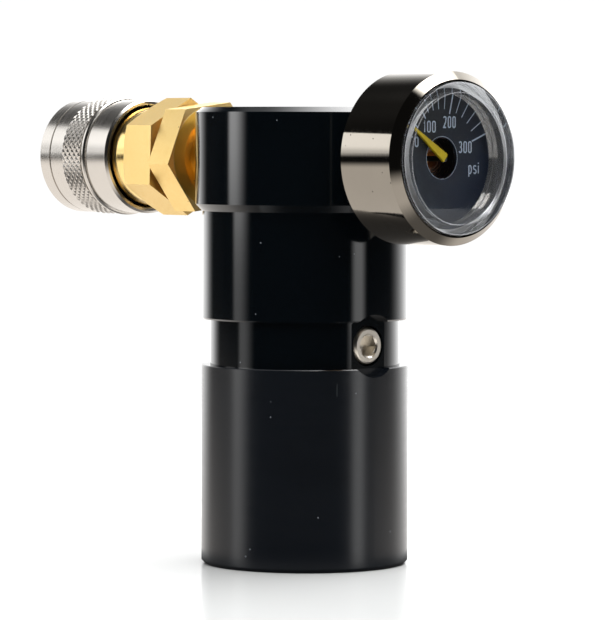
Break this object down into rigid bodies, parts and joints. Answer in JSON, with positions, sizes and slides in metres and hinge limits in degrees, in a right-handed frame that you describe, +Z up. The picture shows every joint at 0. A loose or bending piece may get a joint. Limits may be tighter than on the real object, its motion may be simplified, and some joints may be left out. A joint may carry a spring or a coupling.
{
  "type": "compressed air filter regulator",
  "caption": "Compact high-pressure air regulator with an inlet filter, round black body, small round pressure gauge on one side and a brass and steel quick coupler on the other.",
  "frame": {"origin": "on the body's axis, in the plane of its base face, at the mouth of the tank thread", "axes": "+Z up along the body's axis, +X towards the gauge, -X towards the quick coupler"},
  "size_m": [0.0886, 0.0338, 0.0752],
  "materials": {
    "anodised_gloss": "glossy black hard anodising",
    "anodised_satin": "black hard anodising, slightly more satin",
    "rubber": "black nitrile",
    "brass": "bright machined brass",
    "spring_steel": "drawn spring wire",
    "sintered_bronze": "sintered bronze",
    "stainless": "ground stainless steel",
    "seat_plastic": "natural engineering plastic",
    "chrome_case": "bright nickel-chrome plate",
    "bronze_tube": "phosphor bronze",
    "blackened_steel": "blackened steel",
    "aluminium_ring": "turned aluminium",
    "dial_black": "black enamel with pale print",
    "clear_lens": "clear polycarbonate",
    "plated_screw": "nickel plate",
    "pointer_yellow": "yellow enamel",
    "sleeve_steel": "turned and knurled steel"
  },
  "bodies": {
    "body": {"inlet_body": "anodised_satin", "regulator_body": "anodised_gloss", "outlet_cap": "anodised_gloss", "body_oring": "rubber", "cap_oring": "rubber", "pin_depressor": "brass", "filter_clip": "spring_steel", "inlet_filter": "sintered_bronze", "filter_plate": "stainless", "poppet_spring": "spring_steel", "seat_retainer": "brass", "valve_seat": "seat_plastic", "main_spring": "spring_steel", "gauge_stem": "brass", "gauge_case": "chrome_case", "bourdon_anchor": "brass", "bourdon_tube": "bronze_tube", "dial_spacer": "aluminium_ring", "gauge_dial": "dial_black", "gauge_lens": "clear_lens", "hex_nipple": "brass", "coupler_adapter": "brass", "coupler_body": "brass", "coupler_seal": "rubber", "valve_spring": "spring_steel", "sleeve_clip": "spring_steel", "sleeve_spring": "spring_steel"},
    "piston": {"piston": "aluminium_ring", "piston_oring": "rubber"},
    "poppet": {"valve_poppet": "stainless"},
    "spring_pad": {"spring_pad": "stainless"},
    "adjuster": {"adjuster_screw": "anodised_gloss"},
    "bleed_seal": {"bleed_oring": "rubber"},
    "bleed": {"bleed_screw": "plated_screw"},
    "pointer": {"gauge_pointer": "pointer_yellow", "pointer_spindle": "blackened_steel"},
    "sleeve": {"coupler_sleeve": "sleeve_steel"},
    "valve": {"coupler_valve": "brass", "valve_gasket": "rubber"},
    "ball_1": {"ball_1": "stainless"},
    "ball_2": {"ball_2": "stainless"},
    "ball_3": {"ball_3": "stainless"},
    "ball_4": {"ball_4": "stainless"}
  },
  "joints": [
    {"name": "piston_slide", "type": "slide", "parent": "body", "child": "piston", "axis": [0, 0, 1], "range_m": [-0.0008, 0], "stiffness_N_per_m": 2000, "springref_m": 0.002},
    {"name": "poppet_slide", "type": "slide", "parent": "body", "child": "poppet", "axis": [0, 0, 1], "range_m": [-0.0008, 0], "deforming": ["poppet_spring"]},
    {"name": "pad_slide", "type": "slide", "parent": "body", "child": "spring_pad", "axis": [0, 0, -1], "range_m": [0, 0.003], "deforming": ["main_spring"]},
    {"name": "adjuster_turn", "type": "hinge", "parent": "spring_pad", "child": "adjuster", "pos_m": [0, 0, 0.066], "axis": [0, 0, -1], "range_deg": [0, 1081]},
    {"name": "bleed_slide", "type": "slide", "parent": "body", "child": "bleed_seal", "axis": [1, 0, 0], "range_m": [0, 0.0008]},
    {"name": "bleed_turn", "type": "hinge", "parent": "bleed_seal", "child": "bleed", "pos_m": [0.0125, 0, 0.034], "axis": [1, 0, 0], "range_deg": [0, 361]},
    {"name": "pointer_turn", "type": "hinge", "parent": "body", "child": "pointer", "pos_m": [0.0305, 0, 0.06235], "axis": [-1, 0, 0], "range_deg": [0, 122], "stiffness_Nm_per_rad": 0.00002, "springref_deg": -17.19},
    {"name": "sleeve_slide", "type": "slide", "parent": "body", "child": "sleeve", "axis": [1, 0, 0], "range_m": [0, 0.0028], "stiffness_N_per_m": 3500, "springref_m": -0.003, "deforming": ["sleeve_spring"]},
    {"name": "valve_slide", "type": "slide", "parent": "body", "child": "valve", "axis": [1, 0, 0], "range_m": [0, 0.0025], "stiffness_N_per_m": 1500, "springref_m": -0.002, "deforming": ["valve_spring"]},
    {"name": "ball_1_slide", "type": "slide", "parent": "body", "child": "ball_1", "axis": [0, 0.7071, 0.7071], "range_m": [0, 0.00061]},
    {"name": "ball_2_slide", "type": "slide", "parent": "body", "child": "ball_2", "axis": [0, -0.7071, 0.7071], "range_m": [0, 0.00061]},
    {"name": "ball_3_slide", "type": "slide", "parent": "body", "child": "ball_3", "axis": [0, -0.7071, -0.7071], "range_m": [0, 0.00061]},
    {"name": "ball_4_slide", "type": "slide", "parent": "body", "child": "ball_4", "axis": [0, 0.7071, -0.7071], "range_m": [0, 0.00061]}
  ],
  "couplings": [
    {"joint": "poppet_slide", "follows": "piston_slide", "ratio": 1},
    {"joint": "adjuster_turn", "follows": "pad_slide", "rad_per_m": 6283.2},
    {"joint": "bleed_turn", "follows": "bleed_slide", "rad_per_m": 7854},
    {"joint": "ball_1_slide", "follows": "sleeve_slide", "ratio": 0.21429},
    {"joint": "ball_2_slide", "follows": "sleeve_slide", "ratio": 0.21429},
    {"joint": "ball_3_slide", "follows": "sleeve_slide", "ratio": 0.21429},
    {"joint": "ball_4_slide", "follows": "sleeve_slide", "ratio": 0.21429}
  ]
}
